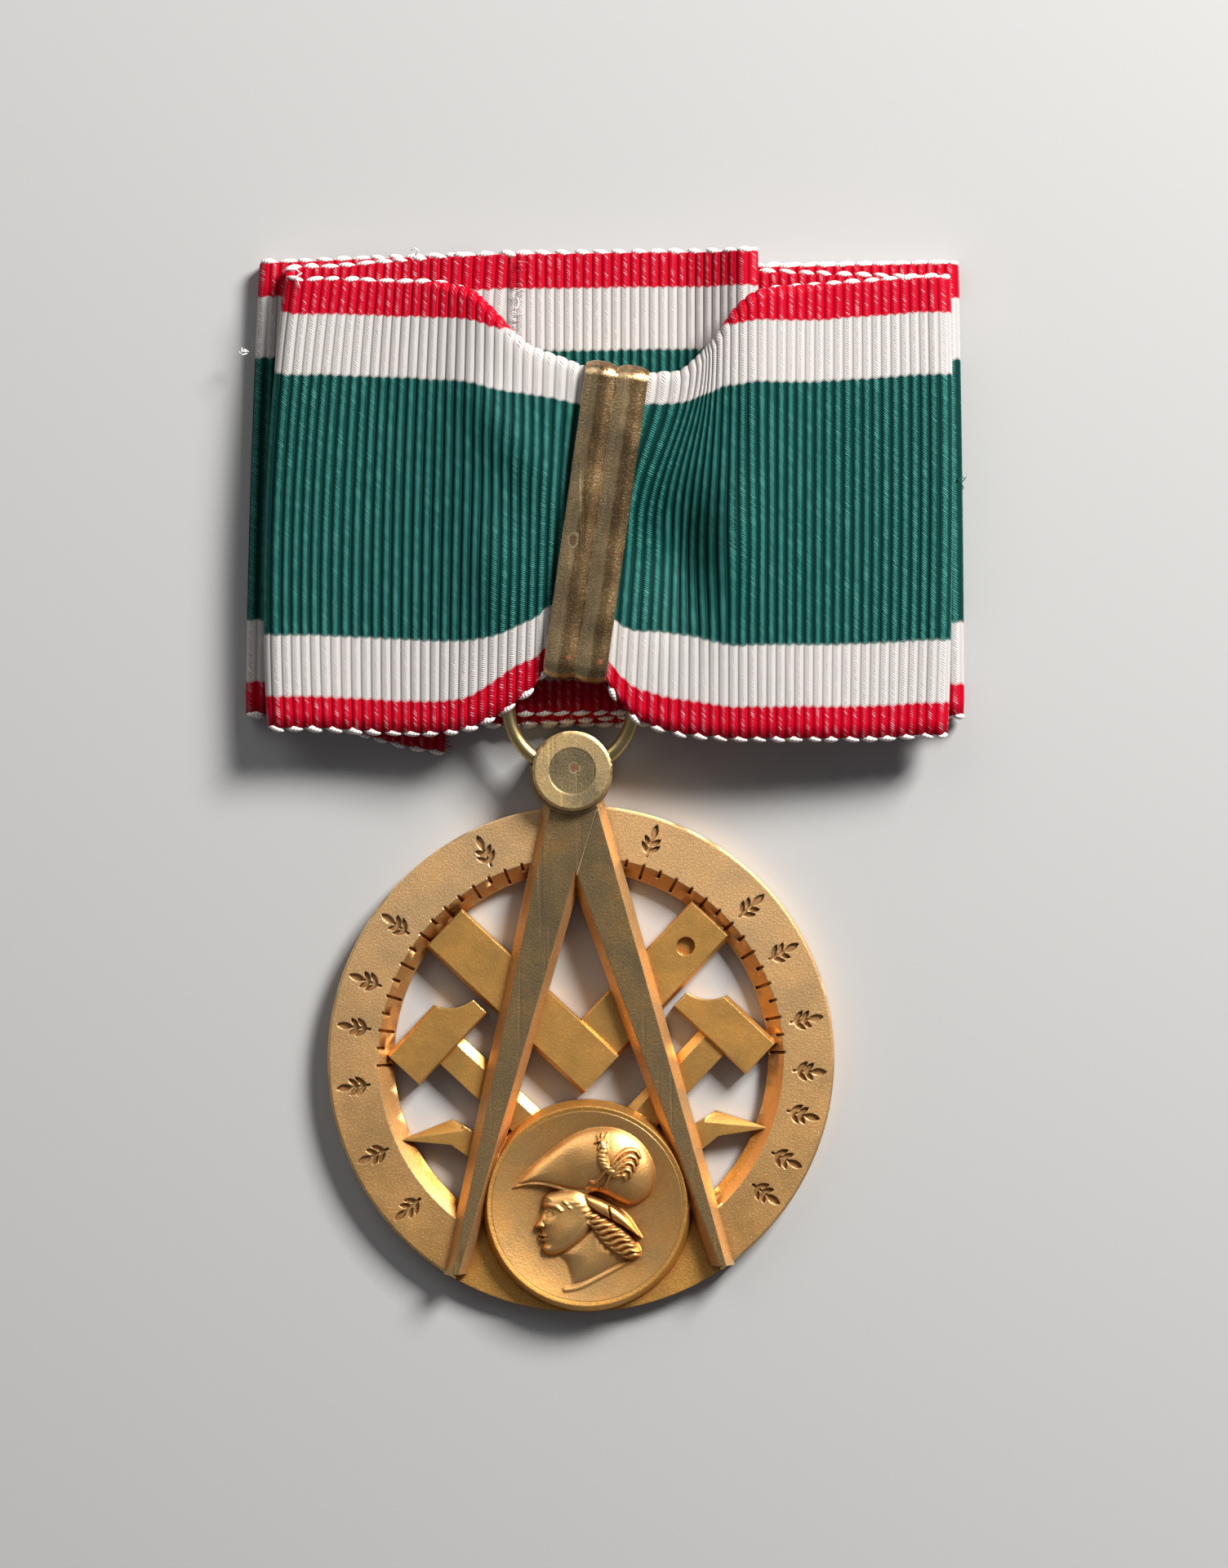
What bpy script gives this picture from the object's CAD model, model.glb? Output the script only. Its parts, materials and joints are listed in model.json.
import json
import math

import bpy
import numpy as np
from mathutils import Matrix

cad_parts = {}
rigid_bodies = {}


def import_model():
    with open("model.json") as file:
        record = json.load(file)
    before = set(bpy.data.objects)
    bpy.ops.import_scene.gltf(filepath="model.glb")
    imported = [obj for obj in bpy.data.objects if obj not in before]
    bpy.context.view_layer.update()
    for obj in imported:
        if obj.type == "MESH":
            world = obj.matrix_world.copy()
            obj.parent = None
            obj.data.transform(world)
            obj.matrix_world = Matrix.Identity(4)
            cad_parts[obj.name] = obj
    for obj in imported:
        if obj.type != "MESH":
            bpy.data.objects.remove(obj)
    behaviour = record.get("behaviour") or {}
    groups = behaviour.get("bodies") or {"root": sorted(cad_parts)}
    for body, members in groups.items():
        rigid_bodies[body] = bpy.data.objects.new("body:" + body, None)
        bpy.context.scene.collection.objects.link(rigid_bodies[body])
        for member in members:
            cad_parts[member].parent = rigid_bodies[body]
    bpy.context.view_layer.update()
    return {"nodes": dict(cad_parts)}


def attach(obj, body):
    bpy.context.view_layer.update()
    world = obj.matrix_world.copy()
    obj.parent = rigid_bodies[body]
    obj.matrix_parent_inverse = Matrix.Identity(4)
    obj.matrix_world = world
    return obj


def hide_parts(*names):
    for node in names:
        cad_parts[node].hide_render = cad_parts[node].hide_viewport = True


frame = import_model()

# Camera
# The badge lies on a table and the camera stands straight over it, 65 cm up with a long lens, so the
# sides of the layers hardly show.

bpy.ops.object.camera_add(location=(0.00081, -0.00027, 0.65), rotation=(0, 0, 0))
camera = bpy.context.object
camera.data.lens = 171.4
camera.data.sensor_width = 36
camera.data.clip_start = 0.05
camera.data.clip_end = 10
bpy.context.scene.camera = camera

# Ribbon
# One length of ribbed silk ribbon, 40 mm wide, folded to and fro into a flat bundle; its front layer is
# drawn through the suspension loop. Silk warp threads pass over thick cords that run across the
# ribbon, which gives a rib every 0.82 mm, and both edges are woven with small white picot loops.

RIBBON_W = 40.0
CLOTH_T = 0.5
RIB = 0.82
RIB_H = 0.17
CURL_R = 0.6
# the woven edges stand this far inside the edges that the stations give, which the picots reach
EDGE = 0.3
# the cut ends stand this far inside the first and the last station
CUT = 0.05
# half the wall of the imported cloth, whose layers lie this far apart, and the heights of their middles
WALL_HALF = 0.5
LAYER = 1.08
Z0, Z1, Z2, Z3, Z4 = (WALL_HALF + k * LAYER for k in range(5))

# A station is a line across the ribbon, in millimetres. Columns: place along X, height of the cloth's
# middle at the upper and the lower edge, upper and lower edge along Y, length of edge rolled under,
# shift of the upper edge to the right of the lower one, bulge to the right at mid width, pull of the
# upper third to the right, and how much the cloth is bunched towards its lower edge
X, ZT, ZB, CURL = 0, 1, 2, 5


def level(*rows):
    """Stations of an unrolled layer, from rows of X, height, upper and lower edge, shift and bulge."""
    return [[x, z, z, top, low, 0, lean, bulge, 0, 0] for x, z, top, low, lean, bulge in rows]


left_back = level(
    (-9, Z3, 45.9, 6.0, 3.4, 0), (-11, Z3 - 0.02, 45.8, 5.8, 2.4, 0), (-13.6, Z3 - 0.3, 45.7, 5.6, 1.4, 0),
    (-17, Z2 + 0.15, 45.4, 5.3, 0.7, -0.2), (-21, Z2, 45.1, 5.0, 1.1, -0.5),
    (-24.5, Z2, 44.8, 4.7, 1.6, -0.9))
front = [
    [-24.1, 4.3, 4.3, 43.6, 4.3, 0, 1.6, -0.9, 0, 0],
    [-20.6, 4.15, 4.15, 43.5, 4.1, 0, 1.3, -0.6, 0, 0],
    [-17, 4.4, 4.3, 43.4, 3.9, 0, 1, -0.4, 0, 0],
    [-14.2, 4.9, 4.6, 43.1, 3.9, 0.8, 0.9, -0.2, 0, 0.02],
    [-11.7, 5.7, 5, 42.2, 4.2, 1.5, 0.8, 0, 0, 0.05],
    [-10, 6.04, 5.2, 40.6, 4.9, 2.5, 0.7, 0, 0, 0.08],
    [-8.5, 6.08, 5.38, 39, 5.7, 3.7, 0.6, 0, 0, 0.09],
    [-7.1, 6.04, 5.62, 37.75, 6.8, 4.7, 0.6, 0, 0, 0.11],
    [-5.6, 5.92, 5.8, 37.05, 8, 5.1, 0.8, 0, 0, 0.14],
    [-4.6, 5.88, 5.84, 36.6, 9.2, 5.2, 1, 0, 0.2, 0.15],
    [-2.5, 5.88, 5.84, 35.6, 9.8, 5.6, 1.5, 0, 0.5, 0.16],
    [0, 5.88, 5.84, 35.1, 9.2, 6.2, 1.8, 0, 1.1, 0.16],
    [1, 5.88, 5.84, 35.12, 8.4, 6.5, 1.9, 0, 1.6, 0.15],
    [1.9, 5.88, 5.8, 35.27, 7, 6.35, 1.8, 0, 2.1, 0.1],
    [3.2, 5.95, 5.76, 35.38, 5.3, 6.1, 1.5, 0, 2.6, -0.05],
    [4.6, 6.1, 5.74, 36.3, 4.5, 5, 1, 0, 2.7, -0.15],
    [6.3, 6.35, 5.72, 37.25, 3.9, 4.35, 0.6, 0, 2.2, -0.17],
    [7.8, 6.6, 5.72, 37.75, 3.7, 4.15, 0.3, 0, 1.35, -0.15],
    [8.8, 6.75, 5.72, 38.2, 3.6, 4.1, 0.1, 0, 0.8, -0.1],
    [9.9, 6.95, 5.72, 39.15, 3.5, 3.8, 0, 0, 0.4, -0.04],
    [11.3, 7.1, 5.74, 40.75, 3.4, 2.55, -0.1, 0, 0.15, 0],
    [13, 7.1, 5.74, 42.1, 3.4, 1.5, -0.1, 0, 0, 0],
    [14.8, 6.7, 5.7, 42.6, 3.4, 1, 0, 0, 0, 0],
    [17.7, 5.9, 5.6, 42.9, 3.4, 0.6, 0.1, 0, 0, 0],
    [21.2, 5.3, 5.2, 43.3, 3.4, 0, 0.2, 0.1, 0, 0],
    [24.8, 4.9, 4.9, 43.6, 3.5, 0, 0.2, 0.2, 0, 0],
    [27.6, 4.65, 4.65, 43.8, 3.7, 0, 0.2, 0.3, 0, 0],
]
right_middle = level(
    (27.6, Z2, 43.8, 3.9, 0.2, 0.3), (24, Z2, 44, 4.1, 0.1, 0.1), (18.4, Z2, 44.2, 4.4, 0, 0),
    (14.2, Z2, 44.4, 4.6, 0, 0))
right_back = level(
    (14.2, Z1, 44.9, 5.2, 0, 0), (20, Z1, 45, 5.3, -0.1, 0.1), (28.6, Z1, 45.2, 5.4, -0.5, 0.1))
floor_layer = level(
    (28.6, Z0, 45.2, 5.4, -0.5, 0.1), (18, Z0, 45.1, 5.1, 0, 0), (4, Z0, 45, 4.8, 0, 0),
    (-9.2, Z0, 44.9, 4.6, 0, 0))
middle_layer = level(
    (-9.2, Z1, 44.9, 4.7, 0, 0), (-3, Z1, 45.2, 5, 0, 0), (4, Z1, 45.6, 5.6, 0, 0),
    (7.8, Z1, 45.8, 5.9, 0, 0), (10, Z2 - 0.22, 46, 6, 0, 0), (11.9, Z3 - 0.12, 46.1, 6.1, 0, 0))
top_layer = level(
    (11.9, Z4, 46.13, 6.1, 0, 0), (10, Z3 - 0.02, 46.1, 6, 0, 0), (7.6, Z2 + 0.04, 46.1, 5.9, 0, 0),
    (4, Z2, 46.1, 5.8, 0, 0), (-3, Z2, 46, 5.7, 0, 0), (-10.2, Z2, 45.9, 5.6, 0, 0),
    (-12.2, Z2 - 0.25, 45.8, 5.6, 0.1, 0), (-14.8, Z1 + 0.05, 45.8, 5.6, 0.3, 0),
    (-21, Z1, 45.6, 5.6, 0.6, 0), (-28.9, Z1, 45.3, 5.6, 1.2, -0.2))
left_floor = level(
    (-28.9, Z0, 45.2, 5.5, 1.2, -0.2), (-24, Z0, 44.4, 4.8, 1.6, 0), (-20, Z0, 43.6, 3.8, 2, 0),
    (-16.5, Z0, 43, 2.9, 2.6, 0), (-12.6, Z0, 42.6, 2.2, 2.6, 0))
layers = [left_back, front, right_middle, right_back, floor_layer, middle_layer, top_layer, left_floor]
# outside of the wall at the fold after each layer but the last, and the turns of a fold's stations
fold_outsides = (-28.6, 29.95, 12.35, 31.1, -10.8, 13.42, -30.75)
FOLD_TURNS = (-75, -45, -15, 15, 45, 75)
# rows of the smooth strip from one station to the next
STEPS = 60


def fold(a, b, x_out):
    """Stations round a fold from row a to row b, with the outside of the bundle's wall at x_out."""
    side = 1 if x_out > a[X] else -1
    half = abs(a[ZT] - b[ZT]) / 2
    turned = []
    for turn in FOLD_TURNS:
        share = (math.sin(math.radians(turn)) + 1) / 2
        row = [p * (1 - share) + q * share for p, q in zip(a, b)]
        row[X] = x_out - side * (half + WALL_HALF) + side * half * math.cos(math.radians(turn))
        turned.append(row)
    return turned


def middle_line(rows):
    """The strip's middle in the XZ plane."""
    return np.stack([rows[:, X], (rows[:, ZT] + rows[:, ZB]) / 2], 1)


def drawn_smooth(rows):
    """Rows along a smooth curve through the stations, with their length along the ribbon."""
    rows = np.array(rows, float)
    steps = np.diff(middle_line(rows), axis=0)
    knots = np.concatenate([[0], np.cumsum(np.linalg.norm(steps, axis=1) ** 0.5)])
    gaps = np.diff(knots)[:, None]
    slopes = np.diff(rows, axis=0) / gaps
    inner = (slopes[1:] * gaps[:-1] + slopes[:-1] * gaps[1:]) / (gaps[1:] + gaps[:-1])
    tangents = np.concatenate([slopes[:1], inner, slopes[-1:]])
    t = np.linspace(0, 1, STEPS, endpoint=False)[:, None]
    fine = [
        rows[i] * (2 * t**3 - 3 * t**2 + 1) + rows[i + 1] * (3 * t**2 - 2 * t**3)
        + gaps[i] * (tangents[i] * (t**3 - 2 * t**2 + t) + tangents[i + 1] * (t**3 - t**2))
        for i in range(len(rows) - 1)]
    fine = np.concatenate(fine + [rows[-1:]])
    steps = np.diff(middle_line(fine), axis=0)
    return fine, np.concatenate([[0], np.cumsum(np.linalg.norm(steps, axis=1))])


stations = list(left_back)
fold_middles = []
for before, after, x_out in zip(layers, layers[1:], fold_outsides):
    fold_middles.append(STEPS * (len(stations) + len(FOLD_TURNS) // 2))
    stations += fold(before[-1], after[0], x_out) + after
strip, strip_length = drawn_smooth(stations)
total = strip_length[-1]


def stations_at(along):
    """The strip's stations at lengths along it."""
    return np.stack([np.interp(along, strip_length, column) for column in strip.T], 1)


# Dents and, with a negative depth, swells that the draw of the loop leaves in the front layer: place of
# the middle, reach along two directions at right angles, turn of the first in degrees, and depth
dents = [
    (6.9, 19.8, 2.3, 4.6, -8, 2.0), (3.8, 20.3, 2.8, 4.6, 0, 1.1), (11.0, 20.2, 1.8, 5.0, -8, -0.75),
    (-8.2, 29.4, 5.0, 2.0, -52, -0.75), (-9.6, 18.5, 2.0, 4.5, 0, -0.6)]
# a station whose upper edge is higher than this belongs to the front layer
FRONT_Z = 4.85


def eased(share):
    """A smooth rise from 0 to 1."""
    share = np.clip(share, 0, 1)
    return share**2 * (3 - 2 * share)


def cloth_middle(rows, across):
    """Points of the middle of the cloth, for rows of stations and lengths in from the upper woven edge."""
    x, z_top, z_low, top, low, curl, lean, bulge, pull, bunch = (column[:, None] for column in rows.T)
    top = top - EDGE
    low = low + EDGE
    roll = math.pi * CURL_R
    start = math.pi - np.minimum(curl, roll) / CURL_R
    crown = np.where(curl < 0.05, 0, CURL_R * np.where(start < math.pi / 2, 1, np.sin(start)))
    y_roll = top - crown
    share = np.clip((across - curl) / (RIBBON_W - curl), 0, 1)
    share = share + bunch * share * (1 - share)
    y = y_roll - (y_roll - low) * share
    # left of the loop the lowest stripe fans out and the one above it closes up
    fan = np.where(curl > 1, 1.1 * np.exp(-(((x + 8) / 2.6) ** 2)), 0)
    low_down = np.clip((share - 0.8) / 0.2, 0, 1)
    y = y + fan * 4 * low_down * (1 - low_down)
    back = np.maximum(0, curl - roll)
    turn = math.pi - np.clip((curl - across) / CURL_R, 0, math.pi)
    rolled = across < curl
    y_rolled = np.where(across < back, y_roll - (back - across), y_roll + CURL_R * np.sin(turn))
    y = np.where(rolled, y_rolled, y)
    drop = np.where(rolled, CURL_R * (1 + np.cos(turn)), 0)
    v = (top - y) / (top - low)
    x = x + lean * (0.5 - v) + bulge * 4 * v * (1 - v) + pull * (1 - eased((v - 0.02) / 0.42))
    z = z_top * (1 - v) + z_low * v - drop
    on_front = np.clip((z_top - FRONT_Z) / 0.3, 0, 1)
    for dent_x, dent_y, reach, reach_beside, turned, depth in dents:
        cos = math.cos(math.radians(turned))
        sin = math.sin(math.radians(turned))
        ahead = (x - dent_x) * cos + (y - dent_y) * sin
        beside = (y - dent_y) * cos - (x - dent_x) * sin
        z = z - depth * on_front * np.exp(-((ahead / reach) ** 2) - (beside / reach_beside) ** 2)
    return np.stack([x, y, z], 2)


def woven_object(name, places_mm, faces, uvs, material, flipped=0):
    """A part of the ribbon. Its weave map holds the lengths along and across the ribbon, and the first
    flipped corners of its faces count the length along it backwards."""
    mesh = bpy.data.meshes.new(name)
    mesh.from_pydata((np.asarray(places_mm) / 1000).tolist(), [], faces)
    corners = np.empty(len(mesh.loops), np.int32)
    mesh.loops.foreach_get("vertex_index", corners)
    spread = np.asarray(uvs)[corners]
    spread[:flipped, 0] *= -1
    mesh.uv_layers.new(name="weave").data.foreach_set("uv", spread.astype(np.float32).ravel())
    mesh.polygons.foreach_set("use_smooth", np.ones(len(mesh.polygons), bool))
    mesh.materials.append(material)
    thing = bpy.data.objects.new(name, mesh)
    bpy.context.collection.objects.link(thing)
    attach(thing, "root")
    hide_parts("ribbon")
    return thing


def cloth_piece(name, first, last, places, rolled, material):
    """A stretch of the ribbon between two lengths along it, with a round rib over each weft cord. Places
    are those of its rows within a rib, and rolled is the number of faces round the rolled edge."""
    ribs = np.arange(math.ceil(first / RIB), math.floor(last / RIB) + 1)
    along = (ribs[:, None] + np.array(places)[None, :]).ravel() * RIB
    along = along[(along >= first) & (along <= last)]
    rows = stations_at(along)
    curl = rows[:, CURL]
    back = np.maximum(0.3, curl - math.pi * CURL_R)
    turned = np.maximum(0.9, curl)
    bands = [back * k / 3 for k in range(3)]
    bands += [back + (turned - back) * k / rolled for k in range(rolled)]
    bands += [turned + (RIBBON_W - turned) * k / 30 for k in range(31)]
    across = np.stack(bands, 1)
    middle = cloth_middle(rows, across)
    normal = np.cross(np.gradient(middle, axis=0), np.gradient(middle, axis=1))
    normal /= np.linalg.norm(normal, axis=2, keepdims=True) + 1e-12
    phase = along / RIB % 1
    crest = RIB_H * np.sqrt(np.clip(1 - (2 * phase - 1) ** 2, 0, 1))
    swell = 1 - 0.35 * np.exp(-across / 0.3) - 0.35 * np.exp(-(RIBBON_W - across) / 0.3)
    half = (CLOTH_T / 2 + crest[:, None] * swell)[:, :, None]
    n, m = across.shape
    count = n * m
    at = np.arange(count).reshape(n, m)
    upper = np.stack([at[1:, :-1], at[1:, 1:], at[:-1, 1:], at[:-1, :-1]], 2).reshape(-1, 4)
    lower = upper[:, ::-1] + count
    rim = np.concatenate([at[:-1, 0], at[-1, :-1], at[:0:-1, -1], at[0, :0:-1]])
    rim_next = np.roll(rim, -1)
    side = np.stack([rim + count, rim_next + count, rim_next, rim], 1)
    places_mm = np.concatenate([middle + normal * half, middle - normal * half]).reshape(-1, 3)
    weave = np.stack([np.repeat(along, m), across.ravel()], 1)
    # the threads lean the same way on both faces of the cloth, so the upper one is counted backwards
    return woven_object(name, places_mm, np.concatenate([upper, lower, side]).tolist(),
                        np.concatenate([weave, weave]), material, upper.size)


class Wiring:
    """The nodes of a new material. What a socket is given is a constant or the output that feeds it."""

    def __init__(self, name):
        self.material = bpy.data.materials.new(name)
        self.material.use_nodes = True
        self.tree = self.material.node_tree

    def feed(self, node, values):
        """Gives sockets, by their names or places, what they are to have."""
        for key, value in values.items():
            if isinstance(value, bpy.types.NodeSocket):
                self.tree.links.new(value, node.inputs[key])
            else:
                node.inputs[key].default_value = value

    def add(self, kind, values=None, **settings):
        """A new node."""
        node = self.tree.nodes.new("ShaderNode" + kind)
        for key, setting in settings.items():
            setattr(node, key, setting)
        self.feed(node, values or {})
        return node

    def math(self, operation, *values):
        """The result of a sum."""
        return self.add("Math", dict(enumerate(values)), operation=operation).outputs[0]

    def ranged(self, value, low, high, to_low=0.0, to_high=1.0):
        """A value carried from one range to another, and kept in it."""
        return self.add("MapRange", {0: value, 1: low, 2: high, 3: to_low, 4: to_high}).outputs[0]

    def mixed(self, factor, a, b):
        """A mix of two colours."""
        pair = [(*colour, 1) if isinstance(colour, tuple) else colour for colour in (a, b)]
        return self.add("Mix", {0: factor, 6: pair[0], 7: pair[1]}, data_type="RGBA").outputs[2]

    def noise(self, scale, detail, where):
        """Cloudy noise."""
        return self.add("TexNoise", {"Scale": scale, "Detail": detail, "Vector": where}).outputs[0]

    def finish(self, values):
        """The material, when its surface is fed."""
        self.feed(self.tree.nodes["Principled BSDF"], values)
        return self.material


cloth = Wiring("ribbed_silk")
weave = cloth.add("UVMap", uv_map="weave").outputs[0]
along, across, _ = cloth.add("SeparateXYZ", {0: weave}).outputs
rib_count = cloth.math("DIVIDE", along, RIB)
from_crest = cloth.math("ABSOLUTE", cloth.math("SUBTRACT", cloth.math("FRACT", rib_count), 0.5))
unrest = cloth.noise(0.9, 2, weave)
fine_unrest = cloth.noise(5.5, 1, weave)

# warp threads show as slanting dashes over the crest of each cord, each with its own glint
THREAD = 0.218
SLANT = 0.9
slanted = cloth.math("SUBTRACT", across, cloth.math("MULTIPLY", along, SLANT))
thread_count = cloth.math("DIVIDE", slanted, THREAD)
thread_count = cloth.math("ADD", thread_count, cloth.math("MULTIPLY", fine_unrest, 0.5))
wave = cloth.math("COSINE", cloth.math("MULTIPLY", cloth.math("FRACT", thread_count), 2 * math.pi))
thread = cloth.math("POWER", cloth.math("MULTIPLY_ADD", wave, -0.5, 0.5), 1.6)
own = cloth.add("CombineXYZ", {0: cloth.math("FLOOR", thread_count), 1: cloth.math("FLOOR", rib_count)})
luck = cloth.add("TexWhiteNoise", {"Vector": own.outputs[0]}, noise_dimensions="2D").outputs["Value"]
glint = cloth.math("POWER", luck, 3.6)

# place across the width, a little wavy, from 0 at the upper woven edge to 1 at the lower one
wavy = cloth.math("MULTIPLY_ADD", from_crest, 0.35, across)
wavy = cloth.math("MULTIPLY_ADD", unrest, 0.18, wavy)
place = cloth.math("DIVIDE", cloth.math("SUBTRACT", wavy, 0.17), RIBBON_W)


def stripes(red, white, green):
    """A colour ramp of the ribbon's five stripes, whose edges are in millimetres."""
    ramp = cloth.add("ValToRGB", {0: place})
    marks = ramp.color_ramp.elements
    stops = ((0, red), (3.02, red), (3.12, white), (8.4, white), (8.5, green), (31.7, green),
             (31.8, white), (37.15, white), (37.25, red))
    for k, (mm, colour) in enumerate(stops):
        mark = marks[k] if k < 2 else marks.new(mm / RIBBON_W)
        mark.position = mm / RIBBON_W
        mark.color = (*colour, 1)
    return ramp.outputs[0]


cords = stripes((0.44, 0.0, 0.012), (0.5, 0.475, 0.46), (0.0025, 0.036, 0.031))
threads = stripes((0.78, 0.05, 0.1), (0.74, 0.71, 0.69), (0.05, 0.33, 0.285))
glints = stripes((1, 0.5, 0.58), (1, 0.98, 0.96), (0.11, 0.47, 0.4))
gaps = stripes((0.12, 0.0, 0.003), (0.17, 0.145, 0.135), (0.0003, 0.005, 0.004))
# the band of crossing threads is narrow on the red stripes and widest on the green one
bands = stripes((0.19,) * 3, (0.25,) * 3, (0.3,) * 3)
ragged = cloth.math("ADD", bands, cloth.math("MULTIPLY_ADD", luck, 0.14, -0.07))
crown = cloth.add("MapRange", {0: from_crest, 1: ragged, 2: 0.08}, interpolation_type="SMOOTHSTEP").outputs[0]
crossed = cloth.mixed(thread, gaps, cloth.mixed(glint, threads, glints))
show = cloth.math("MULTIPLY", crown, cloth.math("MULTIPLY_ADD", unrest, 0.9, 0.35))
cord_tint = cloth.mixed(cloth.math("MULTIPLY", fine_unrest, thread), gaps, cords)
cord_tint = cloth.mixed(cloth.math("MULTIPLY_ADD", from_crest, -1.4, 1.3), cord_tint, cords)
dash = cloth.math("MULTIPLY", thread, crown)
relief = cloth.math("MULTIPLY_ADD", dash, 0.8, cloth.math("MULTIPLY", fine_unrest, 0.3))
raised = cloth.add("Bump", {"Strength": 0.7, "Distance": 0.00004, "Height": relief})
silk = cloth.finish({
    "Base Color": cloth.mixed(cloth.math("MINIMUM", show, 1.0), cord_tint, crossed),
    "Roughness": 0.5, "Specular IOR Level": 0.06, "Sheen Weight": 0.01, "Sheen Roughness": 0.4,
    "Normal": raised.outputs[0]})

# the strip is parted at the middle of the two folds that the layers hide
hidden_a = strip_length[fold_middles[2]]
hidden_b = strip_length[fold_middles[4]]
fine_rib = (0, 0.07, 0.18, 0.34, 0.5, 0.66, 0.82, 0.93)
coarse_rib = (0, 0.1, 0.3, 0.5, 0.7, 0.9)
for name, first, last, places, rolled in (
        ("ribbon_front", CUT, hidden_a, fine_rib, 10),
        ("ribbon_right_and_floor", hidden_a, hidden_b, coarse_rib, 2),
        ("ribbon_top_and_left", hidden_b, total - CUT, fine_rib, 2)):
    piece = cloth_piece(name, first, last, places, rolled, silk)

# Picots and loose threads
# A small wound loop of white silk lies along each woven edge over every second cord, and the ribbon
# has frayed a little at its two cut ends and where it has rubbed.

PICOT_STEP = 2 * RIB
PICOT_RINGS = 9
PICOT_SIDES = 8
THREAD_SIDES = 5
chance = np.random.RandomState(11)


def edge_frame(along, edge):
    """Places on a woven edge, with the directions along it, outwards and up from the cloth."""
    inward = 0.4 if edge == 0 else RIBBON_W - 0.4
    on_edge = np.full((len(along), 1), edge)
    here = cloth_middle(stations_at(along), np.tile([edge, inward], (len(along), 1)))
    ahead = cloth_middle(stations_at(along + 0.3), on_edge)[:, 0]
    behind = cloth_middle(stations_at(along - 0.3), on_edge)[:, 0]
    run = ahead - behind
    out = here[:, 0] - here[:, 1]
    run /= np.linalg.norm(run, axis=1, keepdims=True)
    out -= run * (run * out).sum(1, keepdims=True)
    out /= np.linalg.norm(out, axis=1, keepdims=True)
    return here[:, 0], run, out, np.cross(run, out)


def ring_points(middle, beside, up, sides):
    """Points round an ellipse with two half axes."""
    turns = 2 * math.pi * np.arange(sides) / sides
    return [middle + beside * math.cos(turn) + up * math.sin(turn) for turn in turns]


def add_tube(places, faces, rings, right_hand):
    """Adds a closed tube to a mesh's points and faces. Its rings turn like a right-hand screw, or not."""
    first = len(places)
    sides = len(rings[0])
    for ring in rings:
        places.extend(ring)
    for start in range(first, len(places) - sides, sides):
        for m in range(sides):
            a = start + m
            b = start + (m + 1) % sides
            faces.append((b, b + sides, a + sides, a) if right_hand else (a + sides, b + sides, b, a))
    near = range(first, first + sides)
    far = range(len(places) - sides, len(places))
    faces.append(tuple(near[::-1] if right_hand else near))
    faces.append(tuple(far if right_hand else far[::-1]))


wound = Wiring("picot_silk")
wound_uv = wound.add("UVMap", uv_map="weave").outputs[0]
wound_along, wound_round, _ = wound.add("SeparateXYZ", {0: wound_uv}).outputs
turns = wound.math("MULTIPLY_ADD", wound_along, 2 * math.pi / 0.3, wound.math("MULTIPLY", wound_round, 2.0))
strands = wound.math("MULTIPLY_ADD", wound.math("SINE", turns), 0.5, 0.5)
strand_ramp = wound.add("ValToRGB", {0: strands})
hollow, crest = strand_ramp.color_ramp.elements
hollow.color = (0.55, 0.46, 0.44, 1)
crest.color = (0.9, 0.86, 0.83, 1)
crest.position = 0.55
wound_bump = wound.add("Bump", {"Strength": 0.8, "Distance": 0.00005, "Height": strands})
white_silk = wound.finish({
    "Base Color": strand_ramp.outputs[0], "Roughness": 0.5, "Specular IOR Level": 0.3,
    "Normal": wound_bump.outputs[0]})

picot_places, picot_faces, picot_uvs = [], [], []
for edge in (0, RIBBON_W):
    along = np.arange(0.9, total - 0.6, PICOT_STEP)
    along = along + chance.uniform(-0.1, 0.1, len(along))
    if edge == 0:
        along = along[stations_at(along)[:, CURL] < 1.3]
    for spot, run, out, up in zip(*edge_frame(along, edge)):
        half = chance.uniform(0.68, 0.84)
        wide = chance.uniform(0.25, 0.33)
        lean = math.radians(chance.uniform(-4, 15))
        axis = run * math.cos(lean) + out * math.sin(lean)
        side = np.cross(up, axis)
        rings = []
        for k in range(PICOT_RINGS):
            share = (k + 0.04) / (PICOT_RINGS - 0.92)
            fat = math.sin(math.pi * share) ** 0.55
            middle = spot + out * 0.08 + axis * half * (2 * share - 1)
            rings.append(ring_points(middle, side * wide * fat, up * 0.46 * fat, PICOT_SIDES))
            picot_uvs += [(share * 2 * half, m / PICOT_SIDES * 6) for m in range(PICOT_SIDES)]
        add_tube(picot_places, picot_faces, rings, True)
woven_object("picots", picot_places, picot_faces, picot_uvs, white_silk)


def loose_threads(name, lines, radius, material, uv_at):
    """Thin round threads along lines of points, joined in one mesh, each at one place on the weave."""
    places, faces, uvs = [], [], []
    for line, uv in zip(lines, uv_at):
        line = np.array(line, float)
        runs = np.gradient(line, axis=0)
        runs /= np.linalg.norm(runs, axis=1, keepdims=True)
        rings = []
        for k, (spot, run) in enumerate(zip(line, runs)):
            beside = np.cross(run, (0.3, 0.2, 0.93))
            beside /= np.linalg.norm(beside)
            taper = radius * (1 - 0.5 * k / (len(line) - 1))
            rings.append(ring_points(spot, beside * taper, np.cross(beside, run) * taper, THREAD_SIDES))
        add_tube(places, faces, rings, False)
        uvs += [uv] * (len(line) * THREAD_SIDES)
    woven_object(name, places, faces, uvs, material)


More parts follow.
